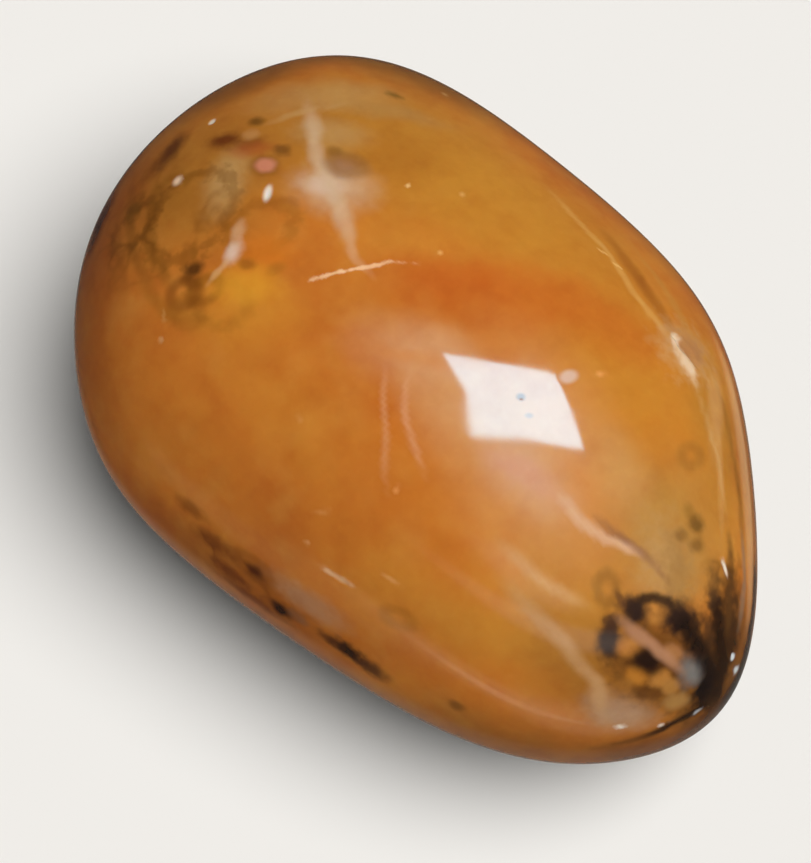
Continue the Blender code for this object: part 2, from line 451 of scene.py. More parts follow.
# Brown and black stains of manganese and iron.
STAINS = {
    "end_spot": Patch((-22.3, -3, 20.3), (1.5, 0.75, 0.9), "56280A", 0.85, 115, 1.5, 0.3),
    "end_spot_tail": Patch((-22.2, -4.6, 19.9), (1.2, 0.5, 0.9), "84480F", 0.5, 110, 1.4, 0.4),
    "rust_spot": Patch((-19.8, -0.4, 22.1), (1, 0.6, 0.7), "6A2C0C", 0.85, 40, 1.5, 0.4),
    "rust_spot_end": Patch((-18.4, 0.3, 22.7), (1, 0.55, 0.7), "82421A", 0.65, 55, 1.5, 0.4),
    "rust_trail": Patch((-17.7, 0.2, 22.9), (1.2, 0.6, 0.8), "B05024", 0.5, 50, 1.4, 0.4),
    "rust_trail_end": Patch((-16.3, 1.5, 23.3), (0.55, 0.4, 0.6), "74461A", 0.7, 20, 1.3, 0.4),
    "olive_spot": Patch((-19.6, 2, 22.1), (0.5, 0.4, 0.6), "6A4210", 0.75, 49, 1.3, 0.3),
    "pink_bead_rim": Patch((-16.25, -0.05, 23.5), (0.95, 0.8, 0.7), "8A5220", 0.65, 30, 0.9, 0.2),
    "pink_bead": Patch((-16.2, 0, 23.5), (0.66, 0.55, 0.7), "DA8C6C", 0.9, 30, 0.9, 0.15),
    "pale_bead": Patch((-18.8, 1, 22.4), (0.5, 0.45, 0.5), "CC9458", 0.6, 49, 1.2, 0.3),
    "red_rim": Patch((-22.9, -8.8, 16.8), (2, 1.1, 2), "4E1C08", 0.85, 115, 1.4, 0.4),
    "end_haze": Patch((-18.4, -5.6, 21.8), (1.8, 1.2, 1.4), "9E621C", 0.4, 40, 1.5, 0.3),
    "scallop": Patch((-16.6, -5.6, 22.6), (3.5, 2.7, 3), "7A480F", 0.42, 100, 1.7, 0.3, 0.14),
    "scallop_right": Patch((-12.6, -3.2, 24.2), (2.2, 1.7, 2), "8E5414", 0.35, 70, 1.7, 0.3, 0.2),
    "scallop_low": Patch((-10.6, -8.2, 23.8), (2, 1.4, 2), "9A5E18", 0.3, 20, 1.7, 0.4, 0.22),
    "scallop_out": Patch((-19.4, -8.2, 20.6), (2, 1.3, 1.6), "74420E", 0.42, 80, 1.7, 0.4, 0.25),
    "fern_green": Patch((-20.6, -7.3, 20.3), (1.2, 0.5, 0.8), "74480F", 0.6, 130, 1.4, 0.7),
    "eye_spot": Patch((-13.6, -8, 23.3), (0.62, 0.48, 0.6), "46280A", 0.85, 80, 1.3, 0.3),
    "eye_tail": Patch((-13.1, -8.7, 23.3), (0.8, 0.4, 0.6), "7A4612", 0.6, 10, 1.4, 0.5),
    "eye_ring": Patch((-12.8, -9.4, 23.1), (1, 0.85, 0.9), "7A420E", 0.55, 49, 1.6, 0, 0.4),
    "eye_ring_two": Patch((-11.9, -8.3, 23.6), (0.95, 0.75, 0.9), "8A5012", 0.5, 70, 1.6, 0, 0.4),
    "eye_ring_low": Patch((-11.6, -10, 23), (1.1, 0.8, 0.9), "9A5C18", 0.35, 20, 1.7, 0, 0.4),
    "smear": Patch((-12.6, -5.5, 24), (0.75, 0.45, 0.7), "EED8C4", 0.85, 110, 1.5, 0.4),
    "smear_top": Patch((-13.5, -4.3, 24), (0.7, 0.35, 0.6), "DDB084", 0.65, 120, 1.3, 0.4),
    "smear_tail": Patch((-12.4, -7, 23.9), (0.9, 0.22, 0.6), "DDB080", 0.65, 100, 1.3, 0.4),
    "orange_glow": Patch((-11, -4.3, 24.5), (1.8, 1.3, 1.4), "DC7C22", 0.7, 49, 1.4, 0.3),
    "gold_glow": Patch((-10.3, -6.4, 24.3), (2, 1.2, 1.4), "E69E2E", 0.75, 40, 1.4, 0.3),
    "glow_spot": Patch((-11.4, -5.5, 24.3), (0.5, 0.35, 0.5), "9A5A18", 0.6, 30, 1.4, 0.4),
    "glow_spot_two": Patch((-9.8, -4.4, 24.7), (0.6, 0.4, 0.5), "A86A20", 0.5, 70, 1.4, 0.4),
    "brown_ring": Patch((-12.6, 3.7, 24), (0.95, 0.7, 0.8), "8C6038", 0.55, 35, 1.5, 0, 0.6),
    "brown_ring_heart": Patch((-12.7, 3.6, 24), (0.7, 0.45, 0.6), "9A6C50", 0.6, 35, 1.5, 0.2),
    "brown_dot": Patch((-14, 3.8, 23.7), (0.5, 0.4, 0.5), "7C5424", 0.55, 49, 1.4, 0.3),
    "rust_cloud": Patch((-10.9, 6.8, 23.4), (2.4, 1.8, 1.8), "B06A20", 0.5, 49, 1.6, 0.3),
    "olive_dash": Patch((-15.7, 10.3, 20.9), (0.55, 0.28, 0.6), "6A5018", 0.7, 40, 1.3, 0.3),
    "flank_0": Patch((-3.6, -17, 17), (1.1, 0.5, 0.8), "7A3E10", 0.6, 15, 1.4, 0.4),
    "flank_1": Patch((-1.2, -17.1, 15.8), (1.4, 0.6, 0.7), "6A300C", 0.65, 20, 1.5, 0.4),
    "flank_2": Patch((0.4, -17.3, 14.3), (1.4, 0.6, 0.8), "6A2E08", 0.7, 0, 1.5, 0.4),
    "flank_3": Patch((1.9, -16.5, 15.9), (0.7, 0.55, 0.5), "4A200A", 0.85, 15, 1.4, 0.3),
    "flank_3_ring": Patch((1.7, -16.5, 16.1), (1.3, 0.8, 0.8), "94521A", 0.5, 15, 1.6, 0, 0.4),
    "flank_4": Patch((4.4, -16.6, 14.2), (0.75, 0.7, 0.6), "2C1406", 0.95, 40, 1.3, 0.3),
    "flank_4_grey": Patch((5.5, -16, 14.6), (0.7, 0.5, 0.5), "8E6040", 0.65, 15, 1.4, 0.5),
    "flank_5": Patch((2.4, -17, 13.2), (2.6, 0.5, 0.8), "6E3208", 0.6, 10, 1.4, 0.4),
    "black_dash": Patch((9.2, -15.2, 14.5), (1.3, 0.7, 0.6), "200F05", 0.95, 12, 1.3, 0.5),
    "black_dash_tail": Patch((11, -14.7, 14.2), (1.1, 0.7, 0.6), "4E2E18", 0.85, 20, 1.4, 0.4),
    "black_dash_head": Patch((7.9, -15.6, 14.5), (0.9, 0.5, 0.5), "5A300F", 0.75, 10, 1.4, 0.4),
    "heel_dot": Patch((16.4, -12.5, 15), (0.5, 0.45, 0.5), "6E4418", 0.7, 15, 1.3, 0.3),
    "flank_eye": Patch((10.6, -12.2, 19), (0.9, 0.6, 0.7), "A0641E", 0.4, 30, 1.6, 0, 0.5),
    "bruise": Patch((6.4, -13.4, 19.3), (1, 0.2, 0.6), "F4C89A", 0.75, 20, 1.1, 0.5),
    "bruise_two": Patch((9, -11.5, 20.9), (0.6, 0.13, 0.5), "E4A868", 0.5, 20, 1.1, 0.5),
    "bruise_high": Patch((3.4, -12, 22), (0.5, 0.14, 0.5), "E6A660", 0.5, 60, 1.1, 0.5),
    "chip": Patch((9.6, 12.3, 20.6), (1.9, 2, 1.6), "D0A068", 0.7, 20, 1.4, 0.8),
    "chip_brown": Patch((9.6, 12.7, 20.3), (1.2, 1.3, 1.2), "B07848", 0.75, 20, 1.3, 0.8),
    "chip_hole": Patch((8.9, 12.3, 20.9), (0.6, 0.35, 0.6), "F2D8B8", 0.8, 100, 1.1, 0.5),
    "chip_light": Patch((10.2, 11.7, 20.9), (1.2, 0.5, 0.9), "F0D4B0", 0.8, 0, 1.2, 0.6),
    "grey_1": Patch((18.6, 4.8, 21.2), (0.6, 0.5, 0.6), "5E4018", 0.75, 49, 1.4, 0.4),
    "grey_2": Patch((18.5, 3.5, 21.6), (0.45, 0.4, 0.5), "7A5424", 0.6, 49, 1.4, 0.4),
    "grey_3": Patch((19.5, 3.9, 20.9), (0.55, 0.45, 0.5), "6E4A20", 0.65, 49, 1.4, 0.4),
    "grey_4": Patch((17.5, 4.8, 21.4), (0.45, 0.4, 0.5), "8A6024", 0.55, 49, 1.4, 0.4),
    "cheek_ring": Patch((15.2, 7.3, 21.7), (0.8, 0.6, 0.7), "966628", 0.4, 80, 1.6, 0, 0.5),
    "back_spot": Patch((8.5, 16.6, 13), (0.8, 0.5, 0.7), "5A2C0C", 0.75, 10, 1.4, 0.4),
    "back_spot_two": Patch((10.4, 15.9, 12.2), (0.5, 0.35, 0.6), "6A3A10", 0.7, 10, 1.4, 0.4),
}

# The black fern of manganese that fills the narrow tip, with golden cells left between its branches.
FERN = {
    "ground": Patch((22.8, -2.2, 19.4), (3.2, 2.4, 2.6), "6A4018", 0.85, 10, 1.2, 0.4),
    "web": Patch((23.6, -3, 18.4), (2.6, 1.6, 2.2), "5A3412", 0.8, 15, 1.3, 0.4),
    "shade": Patch((24.7, 1.4, 17), (4.6, 1.7, 2.6), "38220F", 0.9, -38, 1, 0.4),
    "shade_inner": Patch((23.6, 1.5, 18.4), (1.5, 1.1, 1.4), "55351A", 0.85, -38, 1.4, 0.6),
    "arch": Patch((18.3, -2.4, 22.2), (0.85, 0.65, 0.8), "825824", 0.45, -30, 1.7, 0.3, 0.45),
    "cell_a": Patch((21.1, -0.9, 20.9), (0.9, 0.68, 0.9), "C4823A", 0.9, 20, 1, 0.3),
    "a_body": Patch((20.2, -1.9, 21.3), (0.95, 0.85, 1), "2E201C", 0.97, 30, 1.2, 0.3),
    "b_body": Patch((22.2, 0.2, 20), (1.4, 1.15, 1.1), "2A1C18", 0.97, 10, 1.2, 0.3),
    "c_body": Patch((20.4, -4.1, 20.7), (1.2, 0.68, 0.9), "30201A", 0.97, -35, 1.2, 0.3),
    "c_top": Patch((19.9, -3.5, 21.2), (0.5, 0.45, 0.8), "4A3022", 0.85, -35, 1.1, 0.3),
    "cell_c": Patch((21.5, -3.3, 20.2), (0.8, 0.62, 0.8), "BE7C34", 0.9, 20, 1, 0.3),
    "cell_d": Patch((22.9, -3.9, 18.9), (0.75, 0.6, 0.8), "BC7A2C", 0.9, 20, 1, 0.3),
    "cell_e": Patch((23.9, -2.8, 18.3), (0.7, 0.6, 0.8), "B87C38", 0.9, 20, 1, 0.3),
    "cell_f": Patch((23.3, -1.3, 19.1), (0.65, 0.5, 0.8), "B47C4C", 0.75, 20, 1.3, 0.4),
    "cell_g": Patch((24.6, -2.5, 17.6), (0.6, 0.5, 0.8), "B07A3A", 0.9, 20, 1, 0.3),
    "cell_h": Patch((25.2, -2.5, 16.6), (0.9, 0.6, 0.8), "A67A42", 0.9, 20, 1, 0.3),
    "cell_i": Patch((22.8, -4.8, 18.6), (0.5, 0.4, 0.8), "A87030", 0.6, 60, 1.2, 0.3),
    "d_body": Patch((22.6, -2.9, 19.4), (1.05, 0.8, 0.9), "26160E", 0.97, 10, 1.2, 0.3),
    "blue_grey": Patch((24.6, -0.8, 17.7), (0.95, 0.85, 0.9), "7E7C78", 0.85, -10, 1.5, 0.3),
    "blue_black": Patch((25.5, -0.5, 16.4), (0.9, 0.45, 0.9), "121212", 0.95, -45, 1, 0.3),
    "cell_b": Patch((22.9, -0.2, 19.5), (0.42, 0.32, 0.6), "A86A30", 0.85, 49, 1, 0.2),
    "cheek_fleck": Patch((22.5, 2.9, 19.1), (0.7, 0.5, 0.7), "3A281C", 0.85, -30, 1.3, 0.4),
    "cheek_fleck_two": Patch((21.6, 3.4, 19.6), (0.9, 0.5, 0.7), "5E4020", 0.65, -30, 1.5, 0.8),
}

FERN_LINES = {
    "a_bar": Stroke(
        ((20, -1.3, 21.5), (20.4, -0.4, 21.3), (21.4, 0.3, 20.7)), 0.36, "362418", 0.9, 1.3, 0.25
    ),
    "arch_leg": Stroke(((18.8, -2, 22), (19.6, -2.3, 21.6)), 0.22, "5E3C24", 0.7, 1.3, 0.3),
    "b_branch": Stroke(
        ((22.3, 0.2, 19.9), (23.5, 0.2, 18.9), (24.5, 0.3, 17.8), (25.5, 0.1, 16.4), (26.1, -1.2, 15)),
        0.75, "20140E", 0.93, 1.3, 0.25
    ),
    "outer_branch": Stroke(
        ((22.8, 2.9, 18.9), (23.8, 2, 17.9), (24.8, 1.5, 16.9), (25.8, 0.7, 15.5), (26.3, -0.6, 14.2)),
        0.6, "26160B", 0.85, 1.3, 0.4
    ),
    "tip_rim": Stroke(
        ((21.8, 7.6, 15), (23.2, 6.2, 14.5), (24.5, 4.6, 14.2), (25.8, 2.8, 13.6), (26.5, 0.8, 12.8)),
        0.7, "1C130E", 0.9, 1.3, 0.3
    ),
    "pale_branch": Stroke(((20.4, -2.8, 21.1), (22.1, -2.2, 20), (23.9, -1.6, 18.5)), 0.35, "BC8864", 0.75),
    "foot_black": Stroke(
        ((26.2, -1.3, 14.9), (25.8, -3.2, 14.9), (25.2, -4.9, 14.4)), 0.32, "24140A", 0.9, 1.1
    ),
    "foot_brown": Stroke(((25.2, -4.9, 14.4), (23.8, -7, 13.8)), 0.3, "6A4018", 0.7),
    # The grey streak here is a painted reflection: the polish mirroring a pale streak just inside the dark
    # rim of the tip.
    "painted_cheek_reflection": Stroke(
        ((20.6, 7.2, 17.6), (22.4, 5.8, 17), (23.8, 4.1, 16.6)), 0.3, "94785E", 0.65, 1.4, 0.3
    ),
    "cheek_brown": Stroke(
        ((20.2, 6, 18.9), (22.2, 4.3, 18.2), (23.8, 2.8, 17.4)), 0.35, "5C3A18", 0.7, 1.4, 0.4
    ),
    "fringe": Stroke(
        ((-20.4, -5.7, 21.1), (-18.8, -7.4, 21.5), (-16.6, -8.9, 22), (-14.5, -9.5, 22.6)),
        0.42, "7E4C10", 0.42, 1.6
    ),
    "fringe_out": Stroke(
        ((-22.2, -6.4, 19.3), (-19.8, -8.3, 20.5), (-17.6, -9.6, 21.2), (-15.5, -10.2, 21.9)),
        0.4, "7A4A12", 0.38, 1.6
    ),
    "fringe_top": Stroke(
        ((-20.4, -5.7, 21.1), (-20.2, -4.4, 21.5), (-18.8, -3.4, 22.3)), 0.32, "8A5414", 0.45, 1.6
    ),
    "fringe_low": Stroke(
        ((-15.1, -10.7, 21.8), (-12.6, -10.9, 22.6), (-10.9, -9.9, 23.3)), 0.36, "9A6018", 0.4, 1.6
    ),
    "fringe_right": Stroke(((-14.9, -6.6, 23.2), (-13.9, -7.6, 23.3)), 0.2, "8A5414", 0.4, 1.6),
}

# Where the wavy brown bands show.
MOSS = {
    "end_moss": Patch((-18, -7.2, 21.4), (4.6, 3.4, 3), "7E480F", 0.6, 60, 1.4),
    "flank_moss": Patch((0.5, -17, 15), (5, 1.2, 2), "6E360A", 0.5, 15, 1.4),
    "back_moss": Patch((-15, 15, 11), (5.5, 3, 3.5), "6E3C0E", 0.55, 20, 1.5),
    "tip_moss": Patch((23, 2.6, 18.4), (4.2, 1.8, 2.4), "2E1C10", 0.6, -35, 1.3),
}

# Small specks in the skin: painted glints, which are painted highlights of the window mirrored in small pits,
# and two brown dots.
GLINTS = {
    "end_bright": Patch((-21.9, 0.2, 20.8), (0.28, 0.2, 0.3), "F4E0C8", 0.9, 115),
    "end_second": Patch((-19.7, -4.4, 21.8), (0.36, 0.3, 0.3), "F2D0B0", 0.95, 115, 1.2),
    "end_tall": Patch((-14.4, -1.3, 24), (0.55, 0.24, 0.3), "FFF4E4", 0.95, 130, 1.2),
    "left": Patch((-11.8, -12.2, 22), (0.2, 0.18, 0.3), "E0A468", 0.9, 115),
    "left_low": Patch((-12.9, -11.3, 22.5), (0.5, 0.1, 0.3), "D09450", 0.7, 139),
    "crown_a": Patch((-14.5, 13.6, 18.5), (0.3, 0.12, 0.3), "DCA860", 0.9, 115),
    "crown_b": Patch((-9, 5.6, 24.2), (0.17, 0.14, 0.3), "F0C480", 0.9, 115),
    "crown_c": Patch((-6.4, 7.8, 23.8), (0.18, 0.12, 0.3), "E8B468", 0.9, 115),
    "crown_d": Patch((-3.9, 3.7, 25), (0.14, 0.14, 0.3), "F0B468", 0.9, 115),
    "crown_e": Patch((-12.7, 10.8, 21.3), (0.16, 0.12, 0.3), "D8A458", 0.9, 115),
    "seam_g": Patch((1.5, 12.7, 21.4), (0.4, 0.08, 0.3), "F0C070", 0.8, 30),
    "seam_h": Patch((2.8, 12.8, 21.3), (0.4, 0.08, 0.3), "F0C070", 0.8, 30),
    "pearl": Patch((7.3, 4.3, 24.6), (0.6, 0.4, 0.4), "E2C2AC", 0.85, 75),
    "orange_glint": Patch((8.3, 6, 24.1), (0.34, 0.12, 0.3), "F0A860", 0.8, 75),
    "mid_left": Patch((-1.5, -9.6, 24.1), (0.14, 0.14, 0.3), "F0B878", 0.8, 115),
    "mid_low": Patch((5.8, -8.2, 23.9), (0.24, 0.12, 0.3), "F0A860", 0.7, 115),
    "bruise_left": Patch((3.7, -13.6, 20), (0.14, 0.14, 0.3), "E8AC70", 0.8, 115),
    "tip_long": Patch((21.4, 4.8, 19.1), (0.55, 0.14, 0.3), "EEE2D0", 0.9, 4),
    "tip_dot": Patch((25.3, 2.2, 15.8), (0.24, 0.22, 0.3), "D8DEE0", 0.9),
    "tip_dot_two": Patch((25.9, 2.2, 14.5), (0.28, 0.22, 0.4), "C8CED0", 0.9, 49, 1.2),
    "tip_low": Patch((26.2, -1.5, 14.7), (0.3, 0.2, 0.4), "C8CACC", 0.85, 49, 1.2),
    "tip_heel": Patch((24, -6, 15.8), (0.3, 0.16, 0.4), "F0E4D4", 0.8, 30, 1.2),
    "tip_heel_two": Patch((25.4, -3.9, 15.1), (0.22, 0.16, 0.4), "E8DCCC", 0.8, 49, 1),
    "window_dot": Patch((6.5, 1.1, 25), (0.26, 0.22, 0.3), "8E5238", 0.9, 49, 1.2),
    "window_dot_two": Patch((7.7, 0.7, 24.9), (0.24, 0.16, 0.3), "A87858", 0.8, 49, 1.2),
}

# Where the skin is broken: the middle, the half-lengths, the depth and the azimuth of the length.
DENTS = {
    "end_pit": ((-21.9, 0.2, 20.8), (0.32, 0.28, 0.4), 0.07, 115),
    "second_pit": ((-19.7, -4.4, 21.8), (0.36, 0.26, 0.4), 0.07, 115),
    "tall_pit": ((-14.4, -1.4, 24), (0.6, 0.28, 0.4), 0.08, 130),
    "left_pit": ((-11.8, -12.2, 22), (0.25, 0.22, 0.4), 0.05, 49),
    "cheek_pit": ((21.5, 5.1, 18.7), (0.6, 0.28, 0.4), 0.09, 5),
    "pale_pit": ((21.2, 1.9, 20.5), (0.45, 0.22, 0.4), 0.06, 60),
    "tip_pit": ((25.8, 2.1, 14.8), (0.4, 0.35, 0.4), 0.08, 49),
    "tip_pit_two": ((25.2, 2.3, 15.9), (0.3, 0.3, 0.4), 0.06, 49),
    "low_pit": ((26.3, -1.4, 14.5), (0.45, 0.35, 0.4), 0.08, 49),
    "low_pit_two": ((25.6, -3.5, 15.1), (0.22, 0.22, 0.4), 0.06, 49),
    "window_pit": ((6.5, 1.1, 25), (0.3, 0.26, 0.4), 0.012, 49),
    "window_pit_two": ((7.7, 0.7, 24.9), (0.3, 0.2, 0.4), 0.006, 49),
    "pearl": ((7.3, 4.3, 24.6), (0.75, 0.45, 0.5), 0.015, 75),
    "chip": ((9.5, 12.4, 20.6), (1.1, 0.6, 0.6), 0.14, 20),
    "chip_step": ((10.4, 12.2, 20.2), (0.7, 0.35, 0.5), 0.1, 10),
    "chip_top": ((8.7, 12.5, 20.9), (0.5, 0.35, 0.5), 0.08, 60),
    "bruise": ((6.6, -13.4, 19.2), (1.0, 0.18, 0.4), 0.06, 12),
    "bruise_side": ((9.0, -11.4, 21), (0.6, 0.12, 0.4), 0.04, 20),
}

# The share of a dent's radius that is its floor, and how far round a dent the mesh is made finer.
DENT_FLOOR = 0.3
PIT_MARGIN = 0.15

# The mesh is made finer inside these balls: the first list once, and the second once more.
FINE_ZONES = {
    "broad_end": ((-17, -3.5, 22.5), 8.8),
    "crown": ((-11, 3.5, 23.8), 5.5),
    "middle": ((-5.5, -1, 25), 3.5),
    "flank": ((0, -16.5, 15.5), 5.5),
    "flank_heel": ((9, -14.8, 15), 4.5),
    "heel": ((17, -11.5, 16), 3.5),
    "tip": ((22.5, -0.5, 19), 7.5),
    "cheek": ((18, 5, 20), 5),
    "window": ((7.2, 1.2, 24.8), 4),
    "seam": ((6.5, 12.8, 20.5), 6),
}
FINEST_ZONES = {
    "end_spots": ((-18.5, 0.5, 22.5), 4.2),
    "end_spot": ((-22.3, -3.5, 20), 1.8),
    "end_fringe": ((-18.8, -7.3, 21.2), 2.6),
    "eye": ((-13.2, -7.5, 23.4), 3.4),
    "glitter": ((-6.3, -1.0, 25.2), 1.8),
    "tip": ((22.8, -0.9, 19), 5.2),
    "flank": ((1.5, -16.8, 15.2), 3.6),
    "black_dash": ((9.8, -15, 14.5), 2.2),
    "cheek": ((19, 4.2, 21), 1.8),
}

# The mesh carries the painted colours under this name.
COLOUR_NAME = "stone_colour"

# The mottling of the quartz grains, with the same columns as the drifts.
MOTTLES = {
    "dark_grains": (1.6, "303030", 0.45, 0.8, 0.22),
    "light_grains": (0.7, "E0E0E0", 0.48, 0.8, 0.2),
}

# The roughness of the polish changes over this length, as its noise goes from end to end of its range.
WORN_LENGTH = 4.0
WORN_RANGE = (0.4, 0.7)
GLOSSY = 0.05
DULLER = 0.11

# Light soaks this far into the stone, and the red in it goes further than the green and blue.
GLOW_DEPTH = 1.2
GLOW_COLOURS = (1.0, 0.45, 0.15)
GLOW_WEIGHT = 0.3
QUARTZ_IOR = 1.54

# The stone's normal at a place is measured between points this far away to each side, in millimetres.
NORMAL_STEP = 0.05


def reach(look):
    """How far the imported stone's surface lies from the heart along a unit vector, in millimetres."""
    lump = math.sqrt(sum((along / half) ** 2 for along, half in zip(look, LUMP)))
    shares = [max(0.0, look.dot(normal) / distance) for normal, distance in broken_faces()]
    planes = sum(share**EDGE_KEPT for share in shares)
    return (lump**EDGE_KEPT + planes) ** (-1 / EDGE_KEPT)


def on_skin(place):
    """The point of the surface straight over a place, seen from the heart."""
    look = (Vector(place) - Vector(HEART)).normalized()
    return Vector(HEART) + look * reach(look)


def outward(place):
    """The surface's normal at a place on it."""
    east = Vector((0, 0, 1)).cross(place - Vector(HEART)).normalized()
    north = (place - Vector(HEART)).normalized().cross(east)
    across = on_skin(place + east * NORMAL_STEP) - on_skin(place - east * NORMAL_STEP)
    along = on_skin(place + north * NORMAL_STEP) - on_skin(place - north * NORMAL_STEP)
    return across.cross(along).normalized()


def lie_flat(place, heading):
    """The turn that lays a shape's length along a heading and its depth along the surface's normal."""
    deep = outward(place)
    side = deep.cross(heading).normalized()
    long = side.cross(deep)
    return Matrix((long, side, deep)).transposed().to_euler()


# The paint group's own inputs, with their kinds.
PAINT_INPUTS = {
    "Below": "Color",
    "Place": "Vector",
    "Grain": "Float",
    "Centre": "Vector",
    "Turn": "Vector",
    "Size": "Vector",
    "Hollow": "Float",
    "Reach": "Float",
    "Edge": "Float",
    "Ragged": "Float",
    "Paint": "Color",
    "Strength": "Float",
}


def paint_group(kind):
    """A node group that lays an oval or a ring of paint over the colour below, half as strong at its size."""
    tree = bpy.data.node_groups.new("paint_patch", kind)
    for name, socket in PAINT_INPUTS.items():
        tree.interface.new_socket(name, in_out="INPUT", socket_type="NodeSocket" + socket)
    tree.interface.new_socket("Result", in_out="OUTPUT", socket_type="NodeSocketColor")
    given = add(tree, "NodeGroupInput").outputs
    apart = add(tree, VECTOR_MATH, {0: given["Place"], 1: given["Centre"]}, operation="SUBTRACT")
    values = {"Vector": apart, "Rotation": given["Turn"]}
    local = add(tree, "ShaderNodeVectorRotate", values, rotation_type="EULER_XYZ", invert=True)
    local = add(tree, VECTOR_MATH, {0: local, 1: given["Size"]}, operation="DIVIDE")
    radius = add(tree, VECTOR_MATH, {0: local}, operation="LENGTH").outputs["Value"]
    rim = add(tree, MATH, {0: radius, 1: given["Hollow"]}, operation="SUBTRACT")
    rim = add(tree, MATH, {0: rim}, operation="ABSOLUTE")
    grain = add(tree, MATH, {0: given["Grain"], 1: NOISE_MIDDLE}, operation="SUBTRACT")
    rim = add(tree, MATH, {0: grain, 1: given["Ragged"], 2: rim}, operation="MULTIPLY_ADD")
    fade = add(tree, MATH, {0: given["Edge"], 1: given["Reach"]}, operation="MULTIPLY")
    inner = add(tree, MATH, {0: fade, 1: -0.5, 2: given["Reach"]}, operation="MULTIPLY_ADD")
    outer = add(tree, MATH, {0: fade, 1: 0.5, 2: given["Reach"]}, operation="MULTIPLY_ADD")
    values = {"Value": rim, "From Min": inner, "From Max": outer, "To Min": given["Strength"], "To Max": 0.0}
    amount = add(tree, MAP_RANGE, values, interpolation_type="SMOOTHSTEP")
    values = {0: amount, 6: given["Below"], 7: given["Paint"]}
    add(tree, "NodeGroupOutput", {"Result": add(tree, "ShaderNodeMix", values, data_type="RGBA").outputs[2]})
    return tree


def lay(tree, group, below, place, grain, patch, centre, turn):
    """Lays one patch of paint over the colour below it and returns the colour on top."""
    values = {
        "Below": below,
        "Place": place,
        "Grain": grain,
        "Centre": tuple(centre),
        "Turn": tuple(turn),
        "Size": patch.size,
        "Hollow": 1.0 if patch.ring else 0.0,
        "Reach": patch.ring or 1.0,
        "Edge": patch.edge,
        "Ragged": patch.ragged,
        "Paint": linear(patch.colour),
        "Strength": patch.strength,
    }
    kind = "GeometryNodeGroup" if tree.bl_idname == "GeometryNodeTree" else "ShaderNodeGroup"
    return add(tree, kind, values, node_tree=group)


def lay_patches(tree, group, colour, place, grain, patches):
    """Lays a table of patches in the skin, in order."""
    for patch in patches.values():
        centre = on_skin(patch.centre)
        turn = lie_flat(centre, direction(patch.turn, 0))
        colour = lay(tree, group, colour, place, grain, patch, centre, turn)
    return colour


def lay_strokes(tree, group, colour, place, grain, strokes):
    """Lays a table of lines in the skin, each as a row of long ovals that overlap at their ends."""
    for stroke in strokes.values():
        points = [on_skin(point) for point in stroke.points]
        for start, end in zip(points, points[1:]):
            centre = on_skin((start + end) / 2)
            size = ((end - start).length * STROKE_OVERLAP, stroke.width, stroke.width + SKIN_DEPTH)
            turn = lie_flat(centre, end - start)
            patch = Patch(centre, size, stroke.colour, stroke.strength, 0, stroke.edge, stroke.ragged)
            colour = lay(tree, group, colour, place, grain, patch, centre, turn)
    return colour


def paint_stone(tree, place):
    """Paints the stone's colours at each place of its skin, in millimetres."""
    group = paint_group("GeometryNodeTree")

    # Stains creep along the grain of the quartz, so their outlines wander and fray.
    bend = add(tree, NOISE, {"Vector": place, "Scale": 1 / WANDER_LENGTH, "Detail": 2.0})
    bend = add(tree, VECTOR_MATH, {0: bend.outputs[1], 1: (NOISE_MIDDLE,) * 3}, operation="SUBTRACT")
    cloud_place, veil_place, stain_place = [
        add(tree, VECTOR_MATH, {0: bend, 1: (far,) * 3, 2: place}, operation="MULTIPLY_ADD")
        for far in (CLOUD_WANDER, VEIL_WANDER, STAIN_WANDER)
    ]
    grain = add(tree, NOISE, {"Vector": place, "Scale": 1 / GRAIN_LENGTH, "Detail": 3.0})
    low, high = GRAIN_RANGE
    grain = add(tree, MAP_RANGE, {"Value": grain, "From Min": low, "From Max": high})

    # The ground colour drifts between rust and gold.
    colour = linear(BODY_AMBER)
    for number, (length, stain, low, high, most) in enumerate(DRIFTS.values()):
        values = {"Vector": place, "W": number * DRIFT_STEP, "Scale": 1 / length, "Detail": 2.0}
        drift = add(tree, NOISE, values, noise_dimensions="4D")
        values = {"Value": drift, "From Min": low, "From Max": high, "To Max": most}
        values = {0: add(tree, MAP_RANGE, values), 6: colour, 7: linear(stain)}
        colour = add(tree, "ShaderNodeMix", values, data_type="RGBA").outputs[2]

    colour = lay_patches(tree, group, colour, cloud_place, grain, CLOUDS)
    colour = lay_patches(tree, group, colour, veil_place, grain, VEILS)
    colour = lay_strokes(tree, group, colour, veil_place, grain, VEIL_LINES)

    # The wavy bands are patches whose strength falls away from the middle of a noise.
    bands = add(tree, NOISE, {"Vector": place, "Scale": 1 / MOSS_LENGTH, "Detail": 2.0})
    bands = add(tree, MATH, {0: bands, 1: NOISE_MIDDLE}, operation="SUBTRACT")
    bands = add(tree, MATH, {0: bands}, operation="ABSOLUTE")
    for name, patch in MOSS.items():
        colour = lay_patches(tree, group, colour, veil_place, grain, {name: patch})
        values = {"Value": bands, "From Max": MOSS_BAND, "To Min": patch.strength, "To Max": 0.0}
        tree.links.new(add(tree, MAP_RANGE, values).outputs[0], colour.inputs["Strength"])

    colour = lay_patches(tree, group, colour, stain_place, grain, STAINS)
    colour = lay_patches(tree, group, colour, stain_place, grain, FERN)
    colour = lay_strokes(tree, group, colour, stain_place, grain, FERN_LINES)
    # Last come the painted glints: painted highlights of the window in small pits.
    return lay_patches(tree, group, colour, place, grain, GLINTS)


